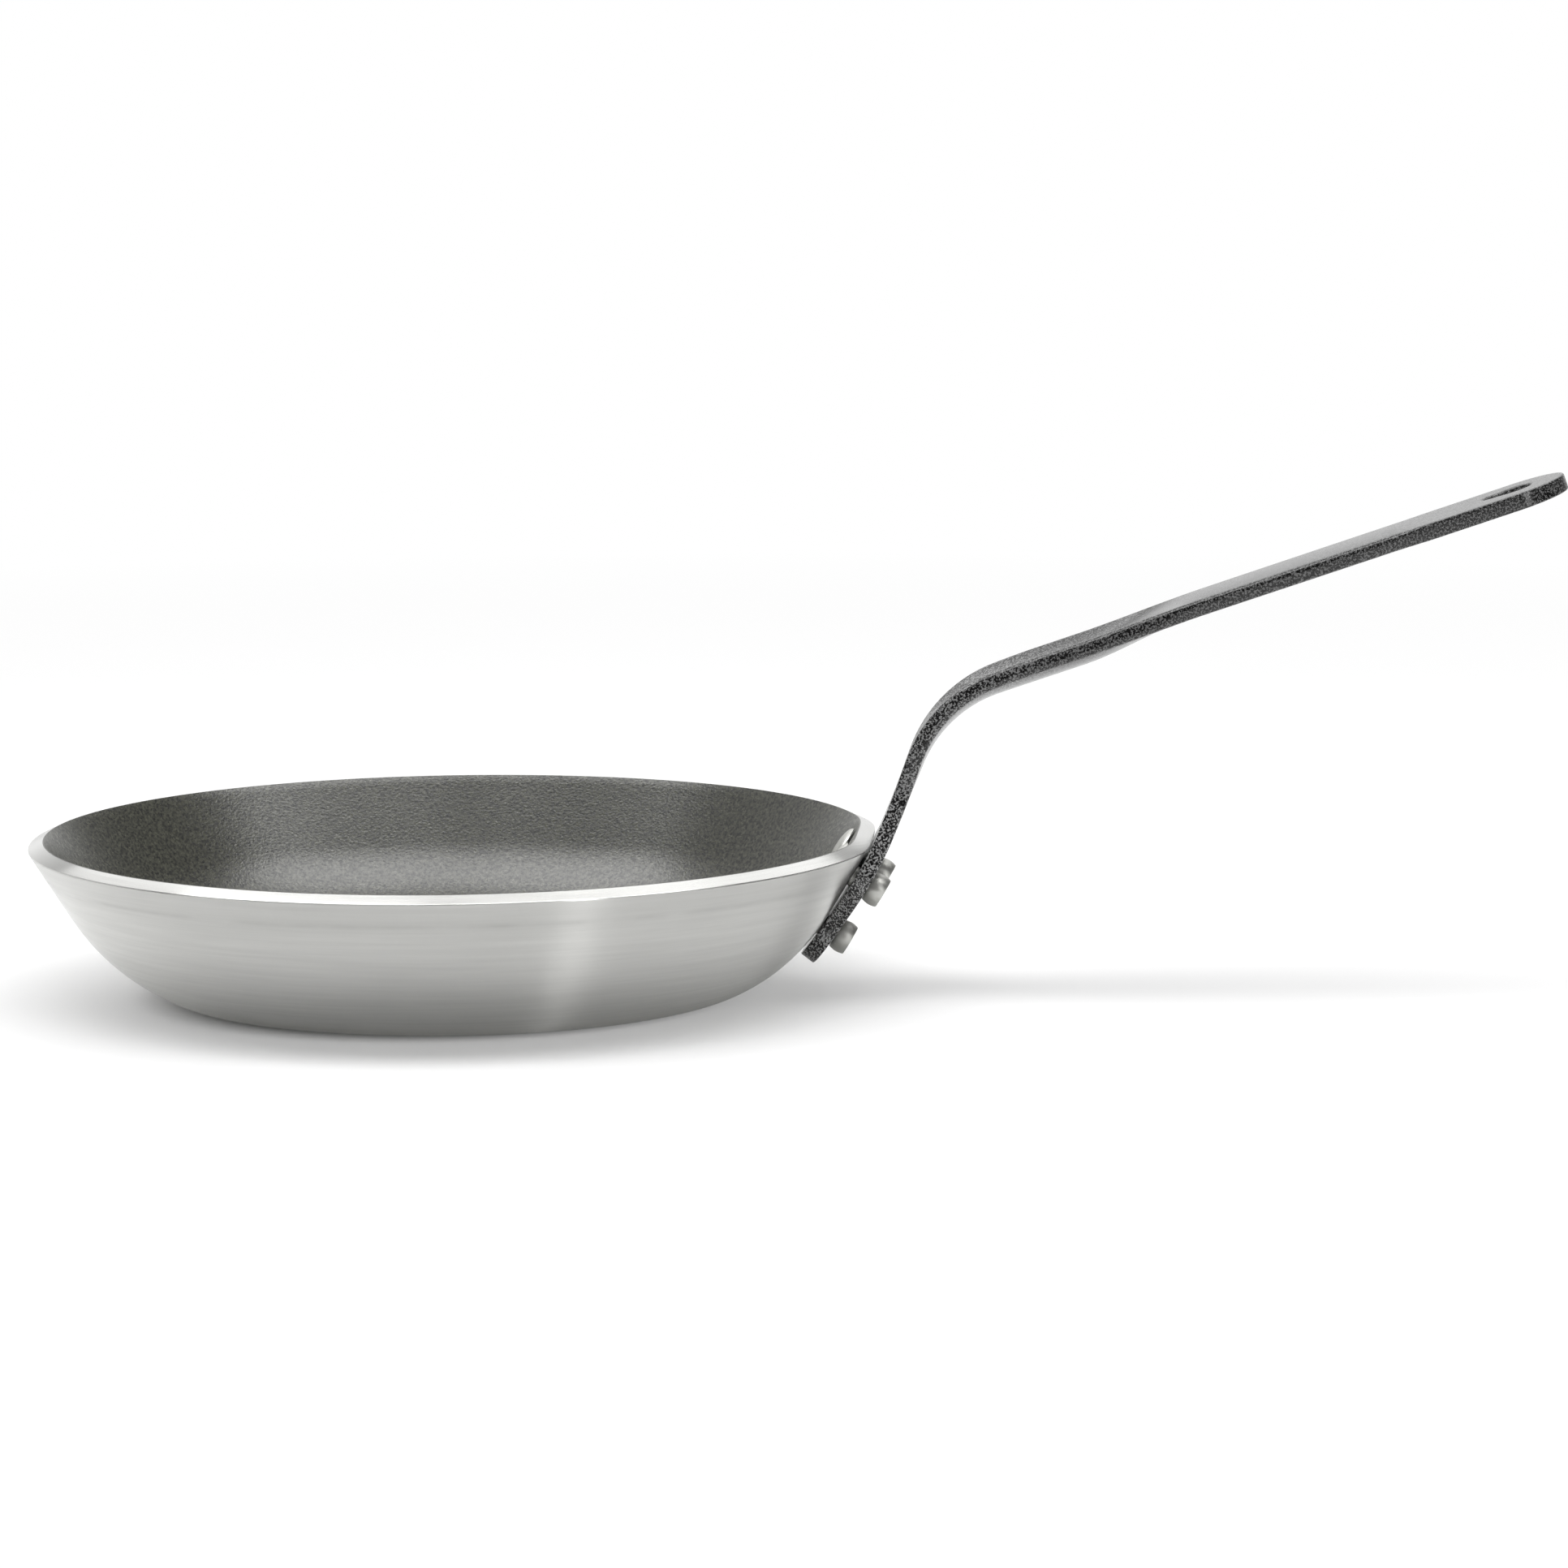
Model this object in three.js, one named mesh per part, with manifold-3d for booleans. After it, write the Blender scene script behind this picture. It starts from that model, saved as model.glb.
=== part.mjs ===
// A riveted frying pan: a thick turned aluminium body with a non-stick lining, and one
// bent steel strip as its handle, held to the wall by three solid aluminium rivets.
// Millimetres, +Z up. The origin is the centre of the underside, and the handle runs along +X.
import * as THREE from "three";
import { mergeVertices } from "three/addons/utils/BufferGeometryUtils.js";
import Module from "manifold-3d";

const wasm = await Module();
wasm.setup();

// Driving dimensions of the pan body and its lining
const RIM_DIAMETER = 240; // over the outer edge of the rim
const RIM_EDGE_HEIGHT = 43.3; // outer edge of the rim above the underside
const WALL_ANGLE = 58; // degrees from the table
const FOOT_RADIUS = 25; // outside, where the base turns up
const FOOT_ANGLE = 26; // degrees from the table, where the foot runs into the belly
const BELLY_RADIUS = 60; // outside, from the foot to the straight wall
const BODY_THICKNESS = 4.7;
const BEVEL_ANGLE = 25; // degrees by which the rim's bare bevel falls outwards
const LINING_THICKNESS = 0.3;
const PRESSED_WIDTH = 66; // of the wall's place that is pressed flat for the handle
const PRESSED_FROM_HEIGHT = 14; // the pressing fades out below this height

// Driving dimensions of the strip's path, from its lower end to its tip
const STRIP_THICKNESS = 4.5;
const SEAT_GAP = 0.3; // between the strip and the wall at their two contacts
const PLATE_TAIL = 11.8; // from the lower end up to the lower contact
const SEAT_CHORD = 27; // from the lower contact up to the rim's edge
const PLATE_BEND_RADIUS = 220; // the riveted plate curves gently with the wall
const KINK_RADIUS = 41;
const RISER_ANGLE = 67; // degrees from the table
const RISER_LENGTH = 22.4;
const BEND_RADIUS = 37.4;
const GRIP_ANGLE = 18.4; // degrees from the table
const GRIP_LENGTH = 168;

// Driving dimensions of the strip's outline and cross-section
const TAIL_RADIUS = 10.5; // the rounded lower end, about the lower rivet
const RIVET_MARGIN = 7.5; // from an upper rivet's centre to the strip's edge
const NECK_WIDTH = 27;
const NECK_ABOVE_RIM = 20;
const GRIP_WIDTH = 30;
const TIP_RADIUS = 15;
const EDGE_RADIUS = 1.4; // along the grip
const SHARP_EDGE_RADIUS = 0.5; // on the riveted plate and on the flat end
const DISH_DEPTH = 3.7; // the middle sinks below the edges, through the bend
const DISH_ABOVE_RIM = 9; // where it starts
const DISH_FULL_LENGTH = 13; // of the grip, where it is deepest
const DISH_LENGTH = 44; // of the grip
const DISH_FADE = 38;
const CROWN_HEIGHT = 0.3; // the middle stands above the edges, along the grip
const FLAT_END_LENGTH = 45; // before the tip
const SECTION_BLEND = 12; // from the crowned grip to its flat end

// Driving dimensions of the rivets and of the hanging hole
const UPPER_RIVET_SPACING = 28.5;
const RIVET_ROW_SPACING = 18.5;
const SHANK_RADIUS = 3;
const SHANK_CLEARANCE = 0.3;
const HEAD_CLEARANCE = 0.3;
const OUTER_HEAD_RADIUS = 4.65;
const OUTER_HEAD_HEIGHT = 4.5;
const OUTER_HEAD_BULGE = 0.45;
const INNER_HEAD_RADIUS = 7;
const INNER_HEAD_HEIGHT = 2;
const HOLE_LENGTH = 14;
const HOLE_RADIUS = 5; // at the end nearest the tip
const HOLE_NARROW_RADIUS = 3; // at the end nearest the pan
const HOLE_LAND = 9.5; // between the hole and the tip

// Facets
const PAN_SIDES = 72;
const FOOT_STEPS = 3;
const BELLY_STEPS = 4;
const RIVET_SIDES = 24;
const HEAD_STEPS = 4;
const STRIP_STEP = 5;
const STRIP_LANES = 6;
const END_STEPS = 6;
const END_START = 12; // degrees, where the rounded ends of the strip are cut square

// Values worked out from the driving dimensions
const { degToRad, smoothstep } = THREE.MathUtils;
const wallAngle = degToRad(WALL_ANGLE);
const rimRadius = RIM_DIAMETER / 2;
const rimEdge = new THREE.Vector2(rimRadius, RIM_EDGE_HEIGHT);
const upWall = new THREE.Vector2(Math.cos(wallAngle), Math.sin(wallAngle));
const outOfWall = new THREE.Vector2(upWall.y, -upWall.x);
const footAngle = degToRad(FOOT_ANGLE);
const footArm = new THREE.Vector2(Math.sin(footAngle), -Math.cos(footAngle));
const bellyHeight = FOOT_RADIUS - footArm.y * (BELLY_RADIUS - FOOT_RADIUS);
const bellyReach = BELLY_RADIUS - (bellyHeight - RIM_EDGE_HEIGHT) * upWall.x;
const bellyCentre = new THREE.Vector2(rimRadius - bellyReach / upWall.y, bellyHeight);
const footCentre = bellyCentre.clone().addScaledVector(footArm, BELLY_RADIUS - FOOT_RADIUS);
const baseRadius = footCentre.x;
const cornerArcs = [
  { centre: footCentre, radius: FOOT_RADIUS, start: 0, end: footAngle, steps: FOOT_STEPS },
  { centre: bellyCentre, radius: BELLY_RADIUS, start: footAngle, end: wallAngle, steps: BELLY_STEPS },
];
const liningDepth = BODY_THICKNESS + LINING_THICKNESS;
const pressedAngle = PRESSED_WIDTH / RIM_DIAMETER;

const seatTop = pressedPoint(rimEdge);
const seatLow = pressedPoint(rimEdge.clone().addScaledVector(upWall, -SEAT_CHORD));
const upSeat = seatTop.clone().sub(seatLow).normalize();
const outOfSeat = new THREE.Vector2(upSeat.y, -upSeat.x);

const plateLength = PLATE_TAIL + SEAT_CHORD;
const seatStation = PLATE_TAIL + SEAT_CHORD / 2;
const tailAngle = upSeat.angle() - seatStation / PLATE_BEND_RADIUS;
const plateTurn = plateLength / PLATE_BEND_RADIUS;
const kinkTurn = degToRad(RISER_ANGLE) - tailAngle - plateTurn;
const bendTurn = degToRad(GRIP_ANGLE - RISER_ANGLE);
const pathParts = [
  { length: plateLength, turn: plateTurn },
  { length: KINK_RADIUS * Math.abs(kinkTurn), turn: kinkTurn },
  { length: RISER_LENGTH, turn: 0 },
  { length: BEND_RADIUS * Math.abs(bendTurn), turn: bendTurn },
  { length: GRIP_LENGTH, turn: 0 },
];
const stripLength = pathParts.reduce((sum, part) => sum + part.length, 0);
const bendEnd = stripLength - GRIP_LENGTH;
const flatStart = stripLength - FLAT_END_LENGTH;
const lowerRivetStation = TAIL_RADIUS;
const upperRivetStation = TAIL_RADIUS + RIVET_ROW_SPACING;

const finishes = {
  aluminium: new THREE.MeshStandardMaterial({ color: 0xb9b9b7, roughness: 0.35, metalness: 1 }),
  lining: new THREE.MeshStandardMaterial({ color: 0x3a3b3e, roughness: 0.5, metalness: 0 }),
  paint: new THREE.MeshStandardMaterial({ color: 0x141415, roughness: 0.25, metalness: 0 }),
  rivet: new THREE.MeshStandardMaterial({ color: 0xa3a198, roughness: 0.4, metalness: 1 }),
};

// Solids and meshes
function solidOf(geometry) {
  const bare = geometry.clone();
  bare.deleteAttribute("normal");
  bare.deleteAttribute("uv");
  const merged = mergeVertices(bare);
  const vertProperties = merged.getAttribute("position").array;
  const triVerts = new Uint32Array(merged.index.array);
  return new wasm.Manifold(new wasm.Mesh({ numProp: 3, vertProperties, triVerts }));
}

function cutFrom(geometry, cutters) {
  const solid = cutters.reduce((left, cutter) => left.subtract(solidOf(cutter)), solidOf(geometry));
  const mesh = solid.getMesh();
  const cut = new THREE.BufferGeometry();
  cut.setAttribute("position", new THREE.BufferAttribute(mesh.vertProperties, 3));
  cut.setIndex(new THREE.BufferAttribute(mesh.triVerts, 1));
  cut.computeVertexNormals();
  return cut;
}

function namedMesh(name, geometry, material) {
  const mesh = new THREE.Mesh(geometry, material);
  mesh.name = name;
  return mesh;
}

// How far the pressing draws the wall in, as a share of its radius. It just takes out the
// wall's roundness at the handle, and dies away to each side and towards the base.
function pressedShare(azimuth, height) {
  const side = Math.min(Math.abs(azimuth) / pressedAngle, 1);
  const raised = smoothstep(height, 0, PRESSED_FROM_HEIGHT);
  return (pressedAngle ** 2 / 4) * (1 - side ** 2) ** 2 * raised;
}

// A point of the pan's section, as radius and height, where the handle sits.
function pressedPoint(point) {
  return new THREE.Vector2(point.x * (1 - pressedShare(0, point.y)), point.y);
}

function pressForHandle(geometry) {
  const position = geometry.getAttribute("position");
  for (let i = 0; i < position.count; i++) {
    const [x, y, z] = [position.getX(i), position.getY(i), position.getZ(i)];
    const scale = 1 - pressedShare(Math.atan2(y, x), z);
    position.setXY(i, x * scale, y * scale);
  }
  return geometry;
}

// The pan's section at a depth below its outer skin, from the axis out to the rim's bevel.
function skinAtDepth(depth) {
  const points = [new THREE.Vector2(0, depth), new THREE.Vector2(baseRadius, depth)];
  for (const { centre, radius, start, end, steps } of cornerArcs) {
    for (let i = 1; i <= steps; i++) {
      const turn = start + ((end - start) * i) / steps;
      const arm = new THREE.Vector2(Math.sin(turn), -Math.cos(turn));
      points.push(centre.clone().addScaledVector(arm, radius - depth));
    }
  }
  const bevel = degToRad(BEVEL_ANGLE);
  const intoRim = new THREE.Vector2(-Math.cos(bevel), Math.sin(bevel));
  points.push(rimEdge.clone().addScaledVector(intoRim, depth / Math.sin(wallAngle + bevel)));
  return points;
}

// How deep a point lies below the pan's outer skin.
function depthBelowSkin(point) {
  const share = pressedShare(Math.atan2(point.y, point.x), point.z);
  const radius = Math.hypot(point.x, point.y) / (1 - share);
  if (radius < baseRadius) return point.z;
  const place = new THREE.Vector2(radius, point.z);
  for (const arc of cornerArcs) {
    const arm = place.clone().sub(arc.centre);
    if (Math.atan2(arm.x, -arm.y) < arc.end) return arc.radius - arm.length();
  }
  return rimEdge.clone().sub(place).dot(outOfWall);
}

// A shell turned from a section that rises at one depth below the outer skin and falls at
// another, and then pressed for the handle.
function turnedShell(risingDepth, fallingDepth) {
  const profile = [...skinAtDepth(risingDepth), ...skinAtDepth(fallingDepth).reverse()];
  return pressForHandle(new THREE.LatheGeometry(profile, PAN_SIDES).rotateX(Math.PI / 2));
}

// The lining falls along the body's inner skin as the body does, so that their facets meet
// face to face, and its faces are then turned round to point outwards.
function liningShell() {
  const shell = turnedShell(liningDepth, BODY_THICKNESS);
  const corners = shell.index.array;
  for (let i = 0; i < corners.length; i += 3) {
    [corners[i + 1], corners[i + 2]] = [corners[i + 2], corners[i + 1]];
  }
  return shell;
}

// A point of the strip's path, as radius and height, with its angle from the table.
function pathFrom(start, startAngle, station) {
  const point = start.clone();
  let angle = startAngle;
  let left = station;
  for (const { length, turn } of pathParts) {
    const step = Math.min(left, length);
    const turned = (turn * step) / length;
    const chord = turned ? (2 * step * Math.sin(turned / 2)) / turned : step;
    point.x += chord * Math.cos(angle + turned / 2);
    point.y += chord * Math.sin(angle + turned / 2);
    angle += turned;
    left -= step;
  }
  return { point, angle };
}

// The path starts where its seat on the wall asks, half-way between the two contacts.
function pathStart() {
  const seatSag = SEAT_CHORD ** 2 / (8 * PLATE_BEND_RADIUS);
  const seat = seatTop.clone().addScaledVector(upSeat, -SEAT_CHORD / 2);
  seat.addScaledVector(outOfSeat, SEAT_GAP + seatSag + STRIP_THICKNESS / 2);
  const reach = pathFrom(new THREE.Vector2(), tailAngle, seatStation).point;
  return seat.sub(reach);
}

const stripStart = pathStart();

// The strip's frame at a station: origin on the path, X along it, Y across, Z to its upper face.
function stripFrame(station) {
  const { point, angle } = pathFrom(stripStart, tailAngle, station);
  const along = new THREE.Vector3(Math.cos(angle), 0, Math.sin(angle));
  const across = new THREE.Vector3(0, 1, 0);
  const normal = new THREE.Vector3().crossVectors(along, across);
  return new THREE.Matrix4().makeBasis(along, across, normal).setPosition(point.x, 0, point.y);
}

function halfWidthAt(station) {
  const fromTip = stripLength - station;
  if (station < TAIL_RADIUS) return Math.sqrt(TAIL_RADIUS ** 2 - (TAIL_RADIUS - station) ** 2);
  if (fromTip < TIP_RADIUS) return Math.sqrt(TIP_RADIUS ** 2 - (TIP_RADIUS - fromTip) ** 2);
  const outline = [
    [TAIL_RADIUS, TAIL_RADIUS],
    [upperRivetStation, UPPER_RIVET_SPACING / 2 + RIVET_MARGIN],
    [plateLength + NECK_ABOVE_RIM, NECK_WIDTH / 2],
    [flatStart, GRIP_WIDTH / 2],
    [stripLength - TIP_RADIUS, TIP_RADIUS],
  ];
  const passed = outline.findLastIndex(([start]) => station >= start);
  const piece = Math.min(passed, outline.length - 2);
  const [[start, startHalf], [end, endHalf]] = outline.slice(piece, piece + 2);
  return THREE.MathUtils.lerp(startHalf, endHalf, smoothstep(station, start, end));
}

// How far the section has become that of the flat end.
function flatShareAt(station) {
  return smoothstep(station, flatStart - SECTION_BLEND / 2, flatStart + SECTION_BLEND / 2);
}

// The cross-section's bow at a station: its height above the path is lift + curl * across ** 2.
function bowAt(station) {
  const half = halfWidthAt(station);
  const dishEnd = bendEnd + DISH_LENGTH;
  const dished = smoothstep(station, plateLength + DISH_ABOVE_RIM, bendEnd + DISH_FULL_LENGTH);
  const crowned = smoothstep(station, dishEnd - DISH_FADE / 2, dishEnd + DISH_FADE / 2);
  const crown = CROWN_HEIGHT * crowned * (1 - flatShareAt(station));
  const dish = DISH_DEPTH * dished * (1 - crowned);
  return { curl: (dish - crown) / half ** 2, lift: DISH_DEPTH * crowned + crown };
}

// The arrises are rounder between the riveted plate and the flat end.
function edgeRadiusAt(station) {
  const rounded = smoothstep(station, plateLength, bendEnd) * (1 - flatShareAt(station));
  const radius = THREE.MathUtils.lerp(SHARP_EDGE_RADIUS, EDGE_RADIUS, rounded);
  return Math.min(radius, halfWidthAt(station) / 2, STRIP_THICKNESS / 3);
}

// A point of the strip, across its width and above its middle surface, in world space.
function stripPoint(station, across, above) {
  const { curl, lift } = bowAt(station);
  const tilt = Math.atan(2 * curl * across);
  const height = lift + curl * across ** 2 + above * Math.cos(tilt);
  const point = new THREE.Vector3(0, across - above * Math.sin(tilt), height);
  return point.applyMatrix4(stripFrame(station));
}

// The strip's flat section with rounded arrises, as points across and above its middle.
function stripRing(station) {
  const half = halfWidthAt(station);
  const radius = edgeRadiusAt(station);
  const flatHalf = half - radius;
  const flatHeight = STRIP_THICKNESS / 2 - radius;
  const upper = [];
  for (let i = 0; i <= STRIP_LANES; i++) {
    upper.push([flatHalf * ((2 * i) / STRIP_LANES - 1), STRIP_THICKNESS / 2]);
  }
  const arris = radius * Math.SQRT1_2;
  const edge = [[flatHalf + arris, flatHeight + arris], [half, flatHeight]];
  const upperHalf = [...upper, ...edge];
  const lowerHalf = upperHalf.map(([across, above]) => [-across, -above]);
  return [...upperHalf, ...lowerHalf];
}

// Stations closer together round the two ends, and evenly spaced between them.
function stripStations() {
  const endShares = [];
  for (let i = 0; i < END_STEPS; i++) {
    const turn = degToRad(THREE.MathUtils.lerp(END_START, 90, i / END_STEPS));
    endShares.push(1 - Math.cos(turn));
  }
  const stations = endShares.map((share) => TAIL_RADIUS * share);
  const steps = Math.round((stripLength - TAIL_RADIUS - TIP_RADIUS) / STRIP_STEP);
  for (let i = 0; i <= steps; i++) {
    stations.push(THREE.MathUtils.lerp(TAIL_RADIUS, stripLength - TIP_RADIUS, i / steps));
  }
  const tipStations = endShares.map((share) => stripLength - TIP_RADIUS * share);
  return [...stations, ...tipStations.reverse()];
}

function stripBlank() {
  const positions = [];
  const indices = [];
  const stations = stripStations();
  const sides = stripRing(bendEnd).length;
  for (const station of stations) {
    for (const [across, above] of stripRing(station)) {
      positions.push(...stripPoint(station, across, above).toArray());
    }
  }
  for (let ring = 0; ring < stations.length - 1; ring++) {
    for (let side = 0; side < sides; side++) {
      const a = ring * sides + side;
      const b = ring * sides + ((side + 1) % sides);
      indices.push(a, a + sides, b, b, a + sides, b + sides);
    }
  }
  for (const ring of [0, stations.length - 1]) {
    const centre = positions.length / 3;
    positions.push(...stripPoint(stations[ring], 0, 0).toArray());
    for (let side = 0; side < sides; side++) {
      const a = ring * sides + side;
      const b = ring * sides + ((side + 1) % sides);
      indices.push(...(ring ? [a, centre, b] : [a, b, centre]));
    }
  }
  const geometry = new THREE.BufferGeometry();
  geometry.setAttribute("position", new THREE.Float32BufferAttribute(positions, 3));
  return geometry.setIndex(indices);
}

// The teardrop hole near the tip, narrow towards the pan.
function hangingHole() {
  const shape = new THREE.Shape();
  const wideCentre = HOLE_LENGTH - HOLE_RADIUS;
  const spread = Math.asin((HOLE_RADIUS - HOLE_NARROW_RADIUS) / (wideCentre - HOLE_NARROW_RADIUS));
  const tangent = Math.PI / 2 + spread;
  shape.absarc(wideCentre, 0, HOLE_RADIUS, -tangent, tangent, false);
  shape.absarc(HOLE_NARROW_RADIUS, 0, HOLE_NARROW_RADIUS, tangent, 2 * Math.PI - tangent, false);
  const depth = 4 * STRIP_THICKNESS;
  const curveSegments = RIVET_SIDES / 2;
  const cutter = new THREE.ExtrudeGeometry(shape, { depth, curveSegments, bevelEnabled: false });
  const station = stripLength - HOLE_LAND - HOLE_LENGTH;
  cutter.translate(0, 0, bowAt(station).lift - depth / 2);
  return cutter.applyMatrix4(stripFrame(station));
}

// Where a rivet sits: its centre in the strip, its turn square to the seat, and its heads'
// places along it. The inner head stops just clear of the lining, all round its edge.
function rivetSeat(station, across) {
  const centre = stripPoint(station, across, 0);
  const axis = new THREE.Vector3(outOfSeat.x, 0, outOfSeat.y);
  const turn = new THREE.Quaternion().setFromUnitVectors(new THREE.Vector3(0, 1, 0), axis);
  const headEdge = [];
  for (let i = 0; i < RIVET_SIDES; i++) {
    const angle = (2 * Math.PI * i) / RIVET_SIDES;
    const point = new THREE.Vector3(Math.cos(angle), 0, Math.sin(angle));
    headEdge.push(point.multiplyScalar(INNER_HEAD_RADIUS).applyQuaternion(turn).add(centre));
  }
  const clearDepth = liningDepth + HEAD_CLEARANCE;
  const isClear = (reach) =>
    headEdge.every((p) => depthBelowSkin(p.clone().addScaledVector(axis, -reach)) > clearDepth);
  let near = 0;
  let far = rimRadius;
  while (far - near > HEAD_CLEARANCE / 100) {
    const middle = (near + far) / 2;
    if (isClear(middle)) far = middle;
    else near = middle;
  }
  return { centre, turn, inner: -far, outer: STRIP_THICKNESS / 2 + HEAD_CLEARANCE };
}

function rivetGeometry({ inner, outer }) {
  const profile = [];
  for (let i = 0; i <= HEAD_STEPS; i++) {
    const turn = (Math.PI * i) / (2 * HEAD_STEPS);
    const height = inner - INNER_HEAD_HEIGHT * Math.cos(turn);
    profile.push(new THREE.Vector2(INNER_HEAD_RADIUS * Math.sin(turn), height));
  }
  profile.push(new THREE.Vector2(SHANK_RADIUS, inner), new THREE.Vector2(SHANK_RADIUS, outer));
  for (let i = 0; i <= HEAD_STEPS; i++) {
    const share = i / HEAD_STEPS;
    const radius = OUTER_HEAD_RADIUS - OUTER_HEAD_BULGE * (1 - Math.sin(Math.PI * share));
    profile.push(new THREE.Vector2(radius, outer + OUTER_HEAD_HEIGHT * share));
  }
  profile.push(new THREE.Vector2(0, outer + OUTER_HEAD_HEIGHT));
  return new THREE.LatheGeometry(profile, RIVET_SIDES);
}

// The hole that a rivet's shank passes through, in the strip, the wall and the lining.
function rivetHole({ centre, turn, inner, outer }) {
  const length = outer - inner + 2 * HEAD_CLEARANCE;
  const radius = SHANK_RADIUS + SHANK_CLEARANCE;
  const hole = new THREE.CylinderGeometry(radius, radius, length, RIVET_SIDES);
  hole.translate(0, (inner + outer) / 2, 0);
  return hole.applyQuaternion(turn).translate(centre.x, centre.y, centre.z);
}

const rivetSeats = {
  rivet_upper_left: rivetSeat(upperRivetStation, UPPER_RIVET_SPACING / 2),
  rivet_upper_right: rivetSeat(upperRivetStation, -UPPER_RIVET_SPACING / 2),
  rivet_lower: rivetSeat(lowerRivetStation, 0),
};
const rivetHoles = Object.values(rivetSeats).map(rivetHole);

const body = cutFrom(turnedShell(0, BODY_THICKNESS), rivetHoles);
const lining = cutFrom(liningShell(), rivetHoles);
const strip = cutFrom(stripBlank(), [...rivetHoles, hangingHole()]);

const pan = new THREE.Group();
pan.add(namedMesh("pan_body", body, finishes.aluminium));
pan.add(namedMesh("nonstick_lining", lining, finishes.lining));

const handle = new THREE.Group();
handle.add(namedMesh("handle_strip", strip, finishes.paint));
for (const [name, seat] of Object.entries(rivetSeats)) {
  const rivet = namedMesh(name, rivetGeometry(seat), finishes.rivet);
  rivet.position.copy(seat.centre);
  rivet.quaternion.copy(seat.turn);
  handle.add(rivet);
}

const fryingPan = new THREE.Group();
fryingPan.add(pan, handle);

export default fryingPan;
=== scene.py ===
# A riveted frying pan in a white studio: a turned aluminium body with a dark non-stick lining,
# and a bent strip handle with speckled paint, held by three aluminium rivets.
# Metres, +Z up, in the frame of the solids: the origin is the centre of the underside and the
# handle runs along +X.
import math

import bpy
from mathutils import Matrix, Quaternion, Vector


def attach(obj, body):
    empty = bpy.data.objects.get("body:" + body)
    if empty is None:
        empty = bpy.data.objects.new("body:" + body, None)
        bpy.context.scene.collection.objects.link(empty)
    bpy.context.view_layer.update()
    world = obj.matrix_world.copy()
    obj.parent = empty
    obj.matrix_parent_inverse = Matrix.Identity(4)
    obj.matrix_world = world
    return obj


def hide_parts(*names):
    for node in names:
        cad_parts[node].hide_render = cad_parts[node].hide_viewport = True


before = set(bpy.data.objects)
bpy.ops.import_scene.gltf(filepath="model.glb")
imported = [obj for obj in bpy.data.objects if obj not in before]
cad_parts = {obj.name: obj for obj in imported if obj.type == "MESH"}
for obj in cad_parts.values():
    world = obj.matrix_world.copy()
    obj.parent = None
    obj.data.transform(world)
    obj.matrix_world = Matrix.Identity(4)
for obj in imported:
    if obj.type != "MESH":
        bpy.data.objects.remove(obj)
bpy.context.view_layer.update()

MM = 0.001
SEAM_GAP = 0.001 * MM
STRIP_SEAM_GAP = 0.01 * MM
SHARP_ANGLE = math.radians(60)
SMOOTH_ANGLE = math.radians(35)
STRIP_SMOOTH_ANGLE = math.radians(40)

# The pan, in millimetres and degrees
RIM_RADIUS = 120
RIM_EDGE_HEIGHT = 43.3
WALL_ANGLE = math.radians(58)
FOOT_RADIUS = 25
FOOT_ANGLE = math.radians(26)
BELLY_RADIUS = 60
BODY_THICKNESS = 4.7
BEVEL_ANGLE = math.radians(25)
LINING_THICKNESS = 0.3
PRESSED_WIDTH = 66
PRESSED_FROM_HEIGHT = 14
RIM_ROUNDING = 0.45
LINING_ROUNDING = 0.14
PAN_SIDES = 288
BASE_RINGS = (0, 0.35, 0.7, 1)
FOOT_STEPS = 14
BELLY_STEPS = 18
WALL_STEPS = 8
RIM_STEPS = 6
LINING_EDGE_STEPS = 5

# The handle strip, in millimetres and degrees
STRIP_THICKNESS = 4.5
SEAT_GAP = 0.3
PLATE_TAIL = 11.8
SEAT_CHORD = 27
PLATE_BEND_RADIUS = 220
KINK_RADIUS = 41
RISER_ANGLE = math.radians(67)
RISER_LENGTH = 22.4
BEND_RADIUS = 37.4
GRIP_ANGLE = math.radians(18.4)
GRIP_LENGTH = 168
TAIL_RADIUS = 10.5
RIVET_MARGIN = 7.5
NECK_WIDTH = 27
NECK_ABOVE_RIM = 20
GRIP_WIDTH = 30
TIP_RADIUS = 15
EDGE_RADIUS = 1.5
SHARP_EDGE_RADIUS = 0.45
DISH_DEPTH = 3.7
DISH_ABOVE_RIM = 9
DISH_FULL_LENGTH = 13
DISH_LENGTH = 44
DISH_FADE = 38
CROWN_HEIGHT = 0.3
FLAT_END_LENGTH = 45
SECTION_BLEND = 12
STRIP_STEP = 2
STRIP_LANES = (0, 2.6, 5.2, 7.8, 10.2, 12)
OUTLINE_STEP = 1.5
END_STEPS = 26
EDGE_STEPS = 6

# The rivets and the hanging hole, in millimetres
UPPER_RIVET_SPACING = 28.5
RIVET_ROW_SPACING = 18.5
SHANK_RADIUS = 3
SHANK_CLEARANCE = 0.3
HEAD_CLEARANCE = 0.3
OUTER_HEAD_RADIUS = 4.65
OUTER_HEAD_HEIGHT = 4.5
OUTER_HEAD_BULGE = 0.45
OUTER_HEAD_ROUNDING = 0.3
OUTER_HEAD_SHOULDER = 0.8
INNER_HEAD_RADIUS = 7
INNER_HEAD_HEIGHT = 2
UPPER_INNER_SEAT = -8.59
LOWER_INNER_SEAT = -9.39
RIVET_SIDES = 72
INNER_HEAD_STEPS = 14
OUTER_HEAD_STEPS = 12
HEAD_ROUNDING_STEPS = 8
HOLE_LENGTH = 14
HOLE_RADIUS = 5
HOLE_NARROW_RADIUS = 3
HOLE_LAND = 9.5
HOLE_ROUNDING = 0.6
HOLE_STEPS = 24
HOLE_NARROW_STEPS = 16
HOLE_ROUNDING_STEPS = 3

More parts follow.
